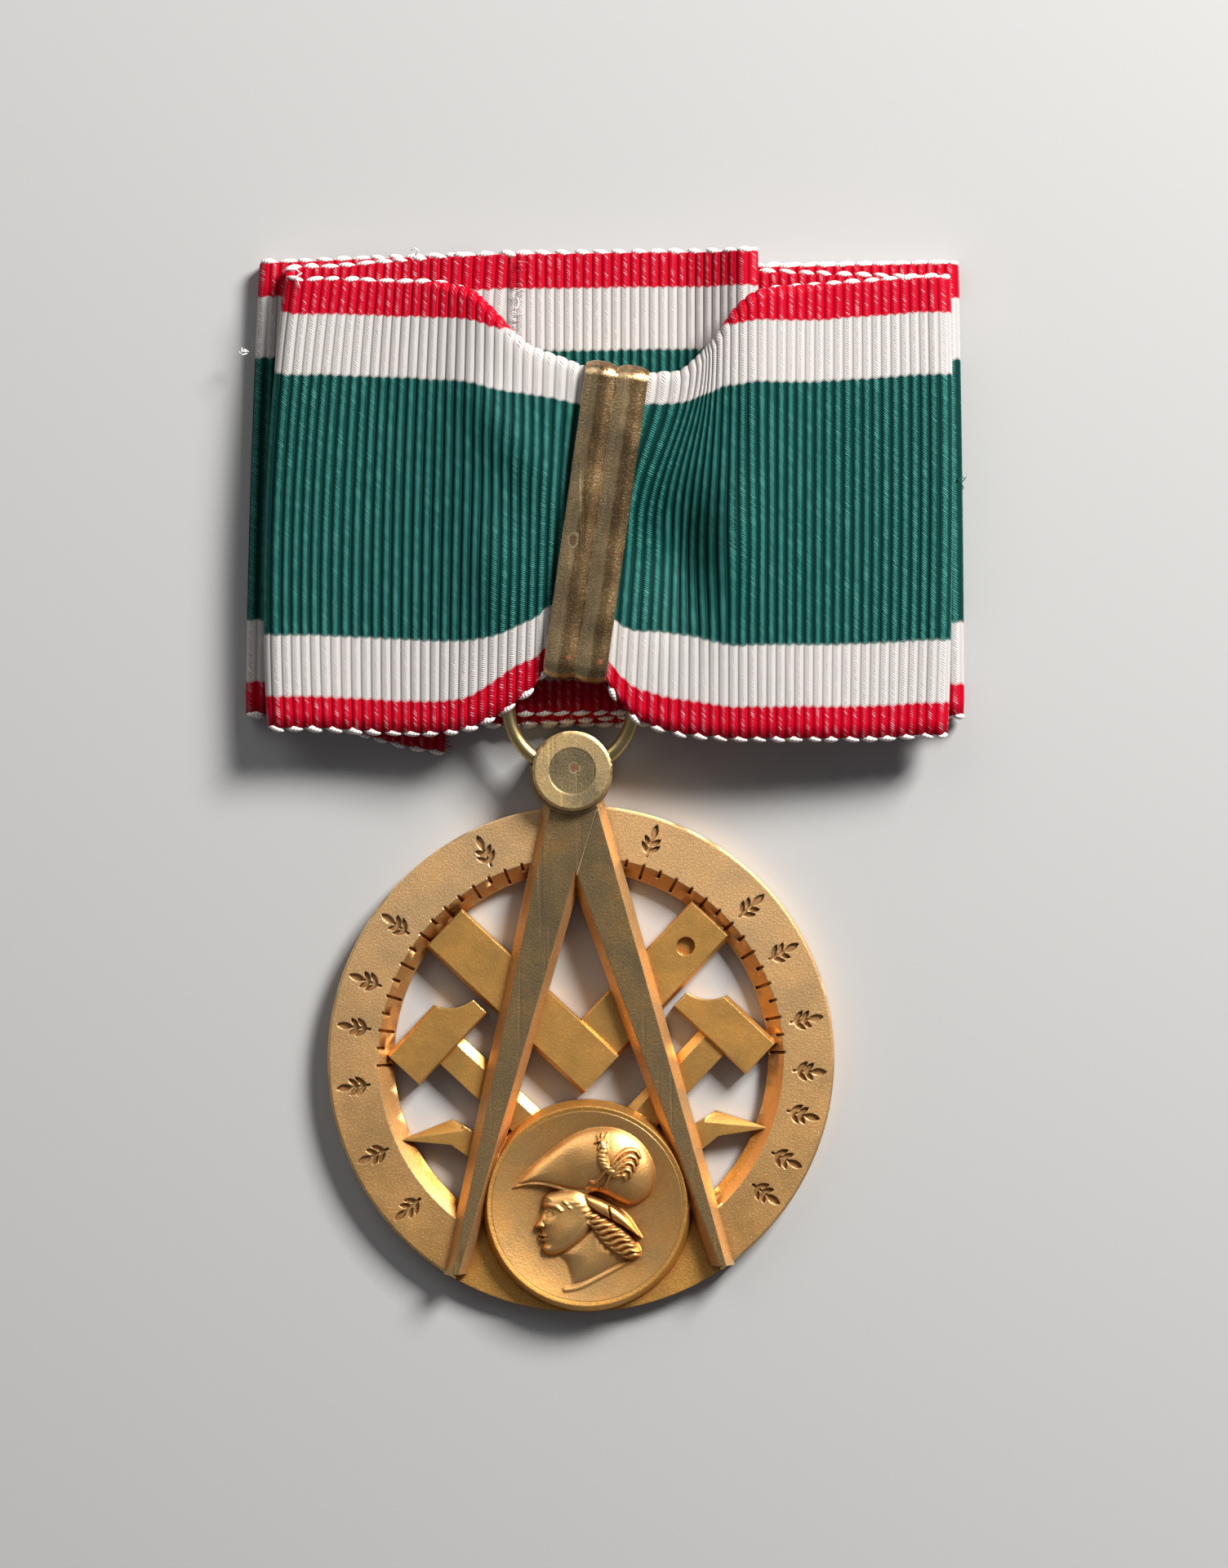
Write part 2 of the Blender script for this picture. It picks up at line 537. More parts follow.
# frayed ends: short fibres in the colours of the stripes, past the two cuts
fibres, fibre_uvs = [], []
for end, sign in ((CUT, -1), (total - CUT, 1)):
    rows = stations_at(np.array([end, end - sign * 0.5]))
    for across_mm in np.arange(0.2, 39.9, 0.17):
        place = across_mm + chance.uniform(-0.1, 0.1)
        tip, inner = cloth_middle(rows, np.full((2, 1), place))[:, 0]
        run = (tip - inner) / np.linalg.norm(tip - inner)
        length = chance.uniform(0.2, 0.9)
        bend = chance.uniform(-0.5, 0.5)
        start = tip + np.array([0, 0, chance.uniform(-0.15, 0.25)]) - run * 0.1
        fibres.append([
            start + run * length * t + np.array([0, bend * t * t * length, 0.1 * t])
            for t in (0, 0.35, 0.7, 1)])
        fibre_uvs.append((0.41, place))
loose_threads("frayed_ends", fibres, 0.045, silk, fibre_uvs)

# a white tuft at the left fold, wisps along the top and a green thread at the right fold
wisps = [
    [(-31.0, 37.3, 2.4), (-31.3, 37.2, 2.6), (-31.5, 37.35, 2.5), (-31.45, 37.6, 2.4)],
    [(-31.0, 37.1, 2.5), (-31.35, 36.95, 2.8), (-31.6, 37.0, 2.6), (-31.7, 37.25, 2.5)],
    [(-30.9, 37.2, 2.6), (-31.2, 37.4, 2.9), (-31.5, 37.2, 2.9), (-31.55, 36.9, 2.8)],
    [(-26.4, 44.0, 4.4), (-26.7, 44.25, 4.9), (-27.3, 44.2, 4.9), (-27.8, 44.15, 4.5)],
    [(-26.2, 43.9, 4.6), (-26.6, 43.6, 5.0), (-26.5, 43.1, 5.0), (-26.35, 42.6, 4.9)],
    [(-16.4, 45.5, 3.9), (-16.1, 45.9, 4.2), (-16.4, 46.1, 4.1), (-16.8, 45.9, 3.9)],
    [(-7.9, 40.6, 5.5), (-7.5, 40.9, 5.6), (-7.4, 41.4, 5.4), (-7.6, 41.8, 5.3)]]
loose_threads("white_wisps", wisps, 0.07, white_silk, [(0.02, 0.1)] * len(wisps))
green_ends = [
    [(30.5, 26.1, 3.0), (30.9, 25.9, 3.4), (31.15, 26.05, 3.5), (31.3, 26.35, 3.4)],
    [(30.5, 26.0, 2.9), (30.95, 25.7, 3.2), (31.1, 25.4, 3.2), (30.95, 25.2, 3.1)],
    [(30.4, 25.8, 3.1), (30.8, 26.2, 3.3), (31.05, 26.3, 3.3), (31.15, 26.15, 3.2)]]
loose_threads("green_thread", green_ends, 0.07, silk, [(0.41, 20)] * len(green_ends))

# Medal
# One gilt casting, 44 mm across: a flat ring, compasses over a square, hammers and picks. The casting
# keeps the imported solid's shape; only its medallion is cut out and filled by a finer relief.

MEDAL_AT = (-0.00196, -0.02413)
MEDAL_LEAN = math.radians(1.93)
UP = (-math.sin(MEDAL_LEAN), math.cos(MEDAL_LEAN))
# the pivot head is above and the medallion below the medal's middle, in millimetres
HEAD_RISE = 25
DISC_DROP = 12.75
DISC_AT = (MEDAL_AT[0] - DISC_DROP / 1000 * UP[0], MEDAL_AT[1] - DISC_DROP / 1000 * UP[1])
DISC_R = 8.3
# radius of the sphere that the medallion's dished field is part of, and the field's lowest height
DISH_R = 37.65
FIELD_H = 2.0


def gilt(name, colour, patina, rough=0.5, metallic=0.9, sand=0.5, clouds=0.5, worn=0.5, specks=0.0,
         scratches=0.0, reach=0.0009, spots=(), foot=None, slopes=None, corners=(0.9, 0.4)):
    """Worn gilding: patina in the corners, rubbed edges, cloudy tarnish, a sandy cast skin and fine specks.
    A spot is a round patch of another colour: its place and size in millimetres, and the colour. The
    colour turns into the foot colour, where one is given, from the medal's top to its bottom. Slopes
    gives a strip's lean, its left edge and its ridges' width in millimetres, and the colour that the
    right slope of each ridge has gone. Corners are the openness at which patina starts and is full."""
    metal = Wiring(name)
    math_node, ranged, mixed = metal.math, metal.ranged, metal.mixed
    where = metal.add("TexCoord").outputs["Object"]

    def noise(size, detail, at=where):
        return metal.noise(1 / size, detail, at)

    corner_kind = {"samples": 2, "only_local": True}
    corner = metal.add("AmbientOcclusion", {"Distance": reach}, **corner_kind).outputs["AO"]
    crevice = math_node("MULTIPLY", ranged(corner, *corners), ranged(noise(0.0011, 3), 0.3, 0.62, 0.6, 1.2))
    tarnish = ranged(noise(0.0035, 4), 0.36, 0.68)
    bright = tuple(min(1, c * 1.45 + 0.1) for c in colour)
    deep = tuple(c * k for c, k in zip(colour, (0.78, 0.66, 0.48)))
    base = colour
    if foot:
        height = metal.add("SeparateXYZ", {0: where}).outputs[1]
        base = mixed(ranged(height, -0.012, -0.044), colour, foot)
    if slopes:
        lean, left_edge, ridge_width, brown = slopes
        upright = metal.add("Mapping", {"Vector": where, "Rotation": (0, 0, math.radians(lean))})
        across_strip = metal.add("SeparateXYZ", {0: upright.outputs[0]}).outputs[0]
        wander = ranged(noise(0.002, 2), 0.3, 0.7, -0.00012, 0.00012)
        from_left = math_node("SUBTRACT", math_node("ADD", across_strip, wander), left_edge / 1000)
        over_ridge = math_node("FRACT", math_node("DIVIDE", from_left, ridge_width / 1000))
        base = mixed(ranged(over_ridge, 0.4, 0.5), base, brown)
    base = mixed(math_node("MULTIPLY", tarnish, clouds), base, deep)
    grains = noise(0.00017, 2)
    base = mixed(ranged(grains, 0.5, 0.72, 0, sand * 0.55), base, deep)
    base = mixed(ranged(grains, 0.46, 0.3, 0, sand * 0.55), base, bright)
    if specks:
        fine = noise(0.00011, 2)
        base = mixed(ranged(fine, 0.52, 0.7, 0, specks), base, tuple(c * 0.3 for c in colour))
        base = mixed(ranged(fine, 0.36, 0.3, 0, specks), base, tuple(min(1, c * 1.9 + 0.12) for c in colour))
    for x, y, spot_radius, tint in spots:
        flat = metal.add("VectorMath", {0: where, 1: (1, 1, 0)}, operation="MULTIPLY").outputs[0]
        spot = (x / 1000, y / 1000, 0)
        away = metal.add("VectorMath", {0: flat, 1: spot}, operation="DISTANCE").outputs["Value"]
        wobble = 0.0003 * spot_radius
        ragged = math_node("ADD", away, ranged(noise(0.0005, 3), 0.3, 0.7, -wobble, wobble))
        soft = 0.85 if spot_radius < 1 else 0.4
        base = mixed(ranged(ragged, spot_radius / 1000 * 1.1, spot_radius / 1000 * soft), base, tint)
    base = mixed(math_node("MINIMUM", crevice, 1.0), base, patina)
    round_edge = metal.add("Bevel", {"Radius": 0.00016}, samples=2).outputs[0]
    true_normal = metal.add("NewGeometry").outputs["Normal"]
    turn = metal.add("VectorMath", {0: round_edge, 1: true_normal}, operation="DOT_PRODUCT").outputs["Value"]
    edge = math_node("MULTIPLY", ranged(turn, 0.985, 0.9), ranged(corner, 0.5, 0.85, 0, worn))
    dull = ranged(tarnish, 0, 1, rough - 0.05, rough + 0.07)
    dull = math_node("ADD", dull, math_node("MULTIPLY", crevice, 0.15))
    skin = math_node("ADD", math_node("MULTIPLY", grains, sand), math_node("MULTIPLY", noise(0.0006, 2), 0.3))
    if scratches:
        for turned in (0.9, -0.5):
            squeeze = {"Vector": where, "Rotation": (0, 0, turned), "Scale": (1, 0.04, 1)}
            scratch = ranged(noise(0.0009, 2, metal.add("Mapping", squeeze).outputs[0]), 0.62, 0.7)
            skin = math_node("SUBTRACT", skin, math_node("MULTIPLY", scratch, scratches))
    bump = metal.add("Bump", {"Strength": 0.6, "Distance": 0.00005, "Height": skin, "Normal": round_edge})
    return metal.finish({
        "Base Color": mixed(edge, base, bright), "Metallic": metallic, "Normal": bump.outputs[0],
        "Roughness": math_node("SUBTRACT", dull, math_node("MULTIPLY", edge, 0.12))})


def choose(piece):
    """Makes a piece the only selected object and the active one."""
    bpy.ops.object.select_all(action="DESELECT")
    piece.select_set(True)
    bpy.context.view_layer.objects.active = piece


def packed_copy(node, name, flat_angle=0):
    """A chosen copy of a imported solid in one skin. Faces that meet at less than flat_angle are joined."""
    packed = frame["nodes"][node]
    piece = packed.copy()
    piece.data = packed.data.copy()
    piece.name = name
    bpy.context.collection.objects.link(piece)
    choose(piece)
    bpy.ops.object.mode_set(mode="EDIT")
    bpy.ops.mesh.select_all(action="SELECT")
    bpy.ops.mesh.remove_doubles(threshold=0.000001)
    if flat_angle:
        bpy.ops.mesh.dissolve_limited(angle_limit=math.radians(flat_angle))
    bpy.ops.object.mode_set(mode="OBJECT")
    return piece


def even_flats(piece):
    """Gives each flat one even normal, up to its sharp edges."""
    even = piece.modifiers.new("even_flats", "WEIGHTED_NORMAL")
    even.keep_sharp = True
    even.weight = 100
    bpy.ops.object.modifier_apply(modifier=even.name)


casting = packed_copy("medal", "medal_casting")

# the medallion's field is bored out
bpy.ops.mesh.primitive_cylinder_add(
    vertices=240, radius=DISC_R / 1000, depth=0.02, location=(*DISC_AT, 0.005))
bore = bpy.context.object
choose(casting)
cut = casting.modifiers.new("bore", "BOOLEAN")
cut.object = bore
cut.operation = "DIFFERENCE"
cut.solver = "EXACT"
bpy.ops.object.modifier_apply(modifier=cut.name)
bpy.data.objects.remove(bore)
bpy.ops.object.shade_smooth_by_angle(angle=math.radians(18))
for side in casting.data.polygons:
    side.use_smooth = abs(side.normal.z) < 0.9995
even_flats(casting)

casting.data.materials.clear()
for finish in (
        gilt("gilt_ring_face", (0.8, 0.5, 0.24), (0.24, 0.095, 0.025), sand=0.8, worn=0.9, specks=0.2,
             foot=(0.62, 0.32, 0.09)),
        gilt("gilt_ring_bevel", (0.7, 0.38, 0.14), (0.23, 0.08, 0.015), rough=0.46, sand=0.4, worn=0.9),
        gilt("gilt_compass_flat", (0.58, 0.41, 0.215), (0.3, 0.16, 0.08), rough=0.36, metallic=1.0, sand=0.4,
             clouds=1.0, worn=1.0, specks=0.7, scratches=0.6, foot=(0.98, 0.64, 0.3)),
        gilt("gilt_compass_flank", (0.8, 0.5, 0.23), (0.42, 0.17, 0.035), rough=0.48, sand=0.7, worn=0.9,
             corners=(0.98, 0.6)),
        gilt("gilt_tools", (0.8, 0.43, 0.12), (0.38, 0.14, 0.025), rough=0.42, sand=0.4, worn=1.0,
             specks=0.07),
        gilt("gilt_plate", (0.68, 0.36, 0.09), (0.32, 0.11, 0.015), rough=0.52, sand=0.8),
        gilt("gilt_pivot_cap", (0.72, 0.52, 0.26), (0.2, 0.1, 0.03), metallic=1.0, sand=0.6, worn=0.7,
             specks=0.3, scratches=0.5, spots=[(-1.8, -1.1, 1.9, (0.36, 0.28, 0.155))]),
        gilt("gilt_pivot_middle", (0.5, 0.39, 0.22), (0.2, 0.1, 0.03), rough=0.4, metallic=1.0, worn=0.2,
             specks=0.7, scratches=0.5,
             spots=[(-2.64, 1.12, 0.56, (0.85, 0.7, 0.4)), (-2.62, 1.12, 0.42, (0.62, 0.32, 0.17))]),
        gilt("gilt_joint_line", (0.95, 0.78, 0.5), (0.6, 0.4, 0.2), sand=0.2, clouds=0.2, worn=0.2,
             corners=(0.3, 0.1))):
    casting.data.materials.append(finish)
FACE, BEVEL, FLAT, FLANK, TOOLS, PLATE, CAP, CAP_MIDDLE, JOINT = range(9)

# the finish of each face follows from its place in millimetres: u across the medal and v up its axis
count = len(casting.data.polygons)
centres = np.empty(count * 3)
normals = np.empty(count * 3)
casting.data.polygons.foreach_get("center", centres)
casting.data.polygons.foreach_get("normal", normals)
centres = centres.reshape(-1, 3) * 1000
upward = normals.reshape(-1, 3)[:, 2]
du = centres[:, 0] - MEDAL_AT[0] * 1000
dv = centres[:, 1] - MEDAL_AT[1] * 1000
u = du * UP[1] - dv * UP[0]
v = du * UP[0] + dv * UP[1]
z = centres[:, 2]
from_ring = np.hypot(u + 0.1, v)
from_head = np.hypot(u, v - HEAD_RISE)
# inner and outer edge of the compasses' legs: distance from the axis at half height, and its loss upwards
inner_edge = 5.38 - 0.3265 * v
outer_edge = 7.39 - 0.246 * v
FLANK_W = 0.85
leg = (abs(u) > inner_edge - FLANK_W) & (abs(u) < outer_edge + FLANK_W) & (v > -18.6) & (v < 22.9)
slots = np.full(count, TOOLS)
slots[from_ring > 17.45] = FACE
slots[(from_ring > 16) & (from_ring < 17.7) & (z < 2.15) & (abs(upward - 0.75) < 0.2)] = BEVEL
slots[(z < 1.52) & (v < -7)] = PLATE
slots[leg & (z > 1.0)] = FLANK
slots[leg & (z > 3.1) & (upward > 0.98)] = FLAT
slots[leg & (abs(u) < 2.4) & (v > 15.2) & (z > 3.1) & (z < 3.29)] = JOINT
slots[from_head < 3.7] = CAP
slots[(from_head < 2.02) & (z > 4)] = CAP_MIDDLE
slots[np.hypot(u, v + DISC_DROP) < 9.3] = PLATE
casting.data.polygons.foreach_set("material_index", slots.astype(np.int32))
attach(casting, "root")
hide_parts("medal")

# Medallion
# The dished field with a helmeted head in profile, in low relief. The head is an ideal one: even
# thirds from brow to nose to chin, calm and plain. The relief is worked up form over form, as in wax.

# the disc's points lie on a square grid that is drawn out round, in millimetres from its middle
GRID = 284
s_axis = np.linspace(-1, 1, GRID + 1)
gu, gv = np.meshgrid(s_axis, s_axis, indexing="ij")
disc = np.stack([gu * np.sqrt(1 - gv**2 / 2), gv * np.sqrt(1 - gu**2 / 2)], 2).reshape(-1, 2) * DISC_R


def curve(points, closed=True, steps=6):
    """A smooth line through points."""
    p = np.array(points, float)
    n = len(p)
    k = np.arange(n if closed else n - 1)
    before = p[(k - 1) % n] if closed else p[np.maximum(k - 1, 0)]
    after = p[(k + 2) % n] if closed else p[np.minimum(k + 2, n - 1)]
    a = p[k]
    b = p[(k + 1) % n]
    t = (np.arange(steps) / steps)[None, :, None]
    line = (a[:, None] * (2 * t**3 - 3 * t**2 + 1) + b[:, None] * (3 * t**2 - 2 * t**3)
            + (b - before)[:, None] / 2 * (t**3 - 2 * t**2 + t) + (after - a)[:, None] / 2 * (t**3 - t**2))
    line = line.reshape(-1, 2)
    return line if closed else np.concatenate([line, p[-1:]])


def along_segment(p, q):
    """How far along the segment from p to q each point of the disc is nearest to it, and how near."""
    e = q - p
    w = disc - p
    t = np.clip((w @ e) / (e @ e + 1e-12), 0, 1)
    return t, np.hypot(w[:, 0] - t * e[0], w[:, 1] - t * e[1])


def inside_by(*outline):
    """How far each point of the disc lies inside an outline; negative outside it."""
    a = curve(outline)
    nearest = np.full(len(disc), 1e9)
    within = np.zeros(len(disc), bool)
    for p, q in zip(a, np.roll(a, -1, 0)):
        nearest = np.minimum(nearest, along_segment(p, q)[1])
        if p[1] != q[1]:
            crossing = (p[1] > disc[:, 1]) != (q[1] > disc[:, 1])
            within ^= crossing & (disc[:, 0] < (q[0] - p[0]) * (disc[:, 1] - p[1]) / (q[1] - p[1]) + p[0])
    return np.where(within, nearest, -nearest)


def bead(points, start, end, middle=None):
    """A round bead along a smooth line, 1 on it and 0 at its edge, with half widths from start to end."""
    a = curve(points, closed=False)
    share = np.linspace(0, 1, len(a))
    wide = start + (end - start) * share
    if middle is not None:
        wide = wide * (1 - 4 * share * (1 - share)) + middle * 4 * share * (1 - share)
    best = np.full(len(disc), -1e9)
    for k in range(len(a) - 1):
        t, away = along_segment(a[k], a[k + 1])
        best = np.maximum(best, 1 - (away / (wide[k] + (wide[k + 1] - wide[k]) * t)) ** 2)
    return np.clip(best, 0, 1)


def soft_spot(x, y, rx, ry, turn=0.0):
    """A soft round swelling, 1 at its middle."""
    dx = disc[:, 0] - x
    dy = disc[:, 1] - y
    c = math.cos(math.radians(turn))
    s = math.sin(math.radians(turn))
    return np.exp(-((dx * c + dy * s) / rx) ** 2 - ((-dx * s + dy * c) / ry) ** 2)


def laid_on(under, over, k=0.04):
    """One form laid over another, with a soft seam."""
    h = np.clip(0.5 + 0.5 * (over - under) / k, 0, 1)
    return under * (1 - h) + over * h + k * h * (1 - h)


def form(depth, floor, height, width, wall=3.5):
    """A rounded form: depth is how far inside its outline a point lies."""
    body = floor + height * np.sqrt(np.clip(1 - (1 - np.clip(depth / width, 0, 1)) ** 2, 0, 1))
    return np.where(depth > 0, body, floor + depth * wall)


away = np.hypot(disc[:, 0], disc[:, 1])
field = FIELD_H + DISH_R - np.sqrt(DISH_R**2 - away**2)
height = field.copy()

# neck and jaw, with the cut of the bust, then the face
neck = inside_by(
    (-2.6, -4.0), (-2.05, -4.9), (-1.95, -6.2), (-2.3, -7.3), (-1.6, -7.35), (0.3, -6.7), (2.1, -5.7),
    (3.6, -4.9), (4.2, -4.6), (2.8, -3.0), (0.8, -1.6), (-0.8, -2.4))
height = laid_on(height, form(neck, 2.05, 0.85, 2.2) + 0.1 * soft_spot(-0.7, -4.6, 1.2, 1.6), 0.07)
height += 0.14 * bead([(-2.1, -7.15), (-0.8, -6.95), (1.2, -6.05), (3.4, -4.95)], 0.3, 0.2)
face = inside_by(
    (-3.35, 1.3), (-3.78, 0.75), (-3.86, 0.2), (-3.8, -0.2), (-4.02, -0.65), (-4.32, -1.15),
    (-4.62, -1.6), (-4.5, -1.84), (-4.16, -1.92), (-4.12, -2.12), (-4.3, -2.36), (-4.24, -2.54),
    (-4.08, -2.6), (-4.22, -2.8), (-4.14, -3.0), (-3.96, -3.12), (-4.06, -3.5), (-3.86, -3.96),
    (-3.35, -4.2), (-2.5, -4.12), (-1.4, -3.6), (-0.2, -2.7), (0.7, -1.2), (0.5, 0.6), (-1.0, 1.6))
skin = form(face, 2.2, 1.12, 1.5)
# cheek, eye socket, eyeball, wing of the nose, chin and the dip above it: rise, place, reach and turn
for rise, *spot in (
        (0.13, -2.1, -1.9, 1.3, 1.1, 30), (-0.26, -3.22, -0.45, 0.42, 0.34, 15),
        (0.17, -3.3, -0.5, 0.24, 0.17, 10), (0.16, -4.02, -1.62, 0.24, 0.2),
        (0.16, -3.72, -3.6, 0.42, 0.36), (-0.08, -3.85, -3.08, 0.25, 0.14)):
    skin += rise * soft_spot(*spot)
# brow, upper and lower lid, bridge of the nose, its crease, the lips, the line between them and the jaw:
# rise, half width at the start and the end, and line
for rise, start, end, *line in (
        (0.15, 0.24, 0.12, (-3.8, 0.12), (-3.3, 0.22), (-2.6, 0.05), (-2.2, -0.3)),
        (0.10, 0.09, 0.07, (-3.62, -0.42), (-3.28, -0.26), (-2.8, -0.46)),
        (0.07, 0.07, 0.06, (-3.55, -0.66), (-3.25, -0.74), (-2.85, -0.58)),
        (0.14, 0.22, 0.3, (-3.72, -0.35), (-3.95, -0.85), (-4.3, -1.5)),
        (-0.1, 0.12, 0.1, (-3.85, -1.3), (-3.68, -1.62), (-3.8, -1.9)),
        (0.11, 0.16, 0.07, (-4.2, -2.34), (-3.95, -2.36), (-3.62, -2.52)),
        (0.11, 0.15, 0.07, (-4.16, -2.78), (-3.9, -2.76), (-3.66, -2.66)),
        (-0.13, 0.06, 0.06, (-4.2, -2.56), (-3.9, -2.56), (-3.5, -2.62)),
        (0.08, 0.5, 0.4, (-3.3, -3.95), (-2.2, -3.7), (-1.0, -2.9), (-0.1, -1.8))):
    skin += rise * bead(line, start, end)
height = laid_on(height, skin, 0.05)

# hair, swept back under the helmet and down the nape, lock over lock
hair = inside_by(
    (-2.3, 1.1), (-0.6, 0.9), (0.6, -0.3), (1.9, -1.2), (3.4, -2.3), (4.2, -3.3), (4.55, -4.1),
    (4.2, -4.75), (3.3, -4.75), (2.2, -4.1), (1.2, -3.2), (0.5, -2.2), (-0.3, -1.3), (-1.4, -0.4),
    (-2.1, 0.1))
mane = form(hair, 2.35, 0.7, 0.7)
for lock in (
        [(-2.3, 0.95), (-1.9, 0.5), (-1.2, 0.35), (-0.5, 0.45)],
        [(-2.1, 0.5), (-1.6, 0.05), (-0.9, -0.05), (-0.1, 0.2)],
        [(-1.6, 0.0), (-1.1, -0.45), (-0.3, -0.45), (0.4, -0.2)],
        [(-1.1, -0.5), (-0.5, -0.95), (0.2, -0.85), (1.0, -0.75)],
        [(-0.6, -1.0), (0.0, -1.4), (0.8, -1.3), (1.7, -1.15)],
        [(-0.1, -1.45), (0.5, -1.85), (1.4, -1.65), (2.3, -1.6)],
        [(0.2, -1.95), (0.9, -2.35), (1.8, -2.1), (2.9, -2.05)],
        [(0.6, -2.5), (1.3, -2.85), (2.3, -2.55), (3.3, -2.55)],
        [(1.0, -3.0), (1.8, -3.35), (2.7, -3.0), (3.8, -3.05)],
        [(1.5, -3.5), (2.3, -3.8), (3.2, -3.45), (4.1, -3.55)],
        [(2.0, -3.95), (2.8, -4.2), (3.6, -3.9), (4.4, -4.1)],
        [(2.6, -4.4), (3.3, -4.6), (4.0, -4.35), (4.45, -4.5)]):
    mane += 0.3 * np.sqrt(bead(lock, 0.1, 0.08, 0.23)) * (mane > 2.3)
height = laid_on(height, mane)

# the cheek strap, a leaf of metal with a slit, over the hair
strap = inside_by(
    (-0.15, 1.0), (0.5, 0.85), (1.5, 0.4), (2.6, -0.3), (3.5, -1.1), (4.1, -2.0), (4.65, -2.95),
    (4.1, -2.6), (3.1, -1.9), (2.0, -1.2), (1.0, -0.7), (0.2, -0.1), (-0.2, 0.5))
plate = form(strap, 2.55, 0.75, 0.5)
plate += 0.08 * bead([(-0.1, 0.4), (1.0, -0.5), (2.6, -1.5), (4.3, -2.7)], 0.16, 0.12)
plate -= 0.35 * bead([(1.9, 0.0), (1.95, -0.6), (2.1, -1.2)], 0.07, 0.1)
height = laid_on(height, plate)

# the helmet: a round bowl that runs out to the left in a pointed visor with a thin rolled edge
helmet = inside_by(
    (-6.45, 1.72), (-5.6, 2.75), (-4.4, 3.85), (-3.0, 4.9), (-1.6, 5.9), (-0.2, 6.6), (1.4, 6.9),
    (3.1, 6.65), (4.7, 5.65), (5.75, 4.1), (6.05, 2.5), (5.6, 1.0), (4.7, 0.2), (3.8, -0.05), (2.8, 0.25),
    (1.8, 0.8), (0.8, 1.15), (0.0, 0.98), (-0.6, 1.0), (-1.4, 1.15), (-2.6, 1.5), (-3.9, 1.85),
    (-5.3, 1.9))
rolled_edge = [(-6.3, 1.8), (-5.2, 2.02), (-3.9, 1.95), (-2.6, 1.6), (-1.4, 1.24), (-0.5, 1.1), (0.1, 1.08)]
groove = [(-5.9, 2.1), (-4.6, 2.3), (-3.2, 2.12), (-1.9, 1.72), (-0.7, 1.5), (0.3, 1.5)]
toward_bowl = eased((disc[:, 0] + 3.5) / 4.5)
shell = form(helmet, 2.3, 0.85 + 0.4 * toward_bowl, 1.5 + 1.7 * toward_bowl)
shell += 0.3 * soft_spot(2.3, 3.3, 2.5, 2.3) - 0.1 * soft_spot(-1.6, 3.0, 0.9, 2.2, -20)
shell += 0.14 * bead(rolled_edge, 0.15, 0.2) - 0.1 * bead(groove, 0.14, 0.14) ** 2
height = laid_on(height, shell)

# the cockerel on the bowl: body, head, beak, comb, wattle, tail feathers, and legs with their spurs.
# Height, half width at the start, the end and, where it swells, the middle, and line
bird = np.zeros(len(disc))
for high, start, end, middle, *line in (
        (0.34, 0.22, 0.4, 0.42, (1.5, 5.6), (1.62, 4.95), (1.45, 4.3), (1.7, 3.5), (2.25, 2.95)),
        (0.34, 0.16, 0.2, None, (1.2, 5.68), (1.5, 5.75), (1.8, 5.62)),
        (0.26, 0.05, 0.12, None, (0.85, 5.5), (1.2, 5.66)),
        (0.26, 0.11, 0.06, None, (1.22, 5.85), (1.1, 6.2)),
        (0.26, 0.11, 0.06, None, (1.5, 5.92), (1.5, 6.35)),
        (0.26, 0.11, 0.06, None, (1.78, 5.86), (1.98, 6.25)),
        (0.26, 0.12, 0.08, None, (1.32, 5.4), (1.15, 4.95)),
        (0.3, 0.18, 0.08, 0.19, (2.0, 3.1), (2.6, 4.0), (3.5, 4.75), (4.4, 4.7), (4.75, 4.1)),
        (0.3, 0.18, 0.08, 0.19, (2.2, 3.0), (2.9, 3.75), (3.7, 4.3), (4.35, 4.1), (4.5, 3.5)),
        (0.28, 0.17, 0.08, 0.18, (2.4, 2.9), (3.0, 3.4), (3.7, 3.75), (4.15, 3.5), (4.2, 2.95)),
        (0.27, 0.16, 0.07, 0.17, (2.5, 2.75), (3.1, 3.0), (3.6, 3.15), (3.9, 2.85), (3.85, 2.4)),
        (0.25, 0.15, 0.07, 0.15, (2.4, 2.6), (2.9, 2.6), (3.3, 2.6), (3.45, 2.2)),
        (0.26, 0.16, 0.07, None, (1.75, 3.1), (1.25, 2.45), (0.75, 2.1), (0.35, 2.15)),
        (0.24, 0.09, 0.05, None, (0.95, 2.2), (1.0, 1.75)),
        (0.26, 0.15, 0.07, None, (2.1, 2.7), (1.8, 2.1), (1.5, 1.6), (1.15, 1.5)),
        (0.24, 0.09, 0.05, None, (1.6, 1.75), (1.85, 1.4))):
    bird = np.maximum(bird, high * np.sqrt(bead(line, start, end, middle)))
# strokes that part the plumage
for stroke in (
        [(1.3, 5.0), (1.85, 4.9)], [(1.25, 4.65), (1.85, 4.5)], [(1.2, 4.3), (1.8, 4.1)],
        [(1.3, 3.95), (1.95, 3.75)], [(1.5, 3.6), (2.2, 3.45)], [(1.7, 3.2), (2.5, 3.15)]):
    bird -= 0.12 * bead(stroke, 0.055, 0.055) * (bird > 0.1)
height += bird

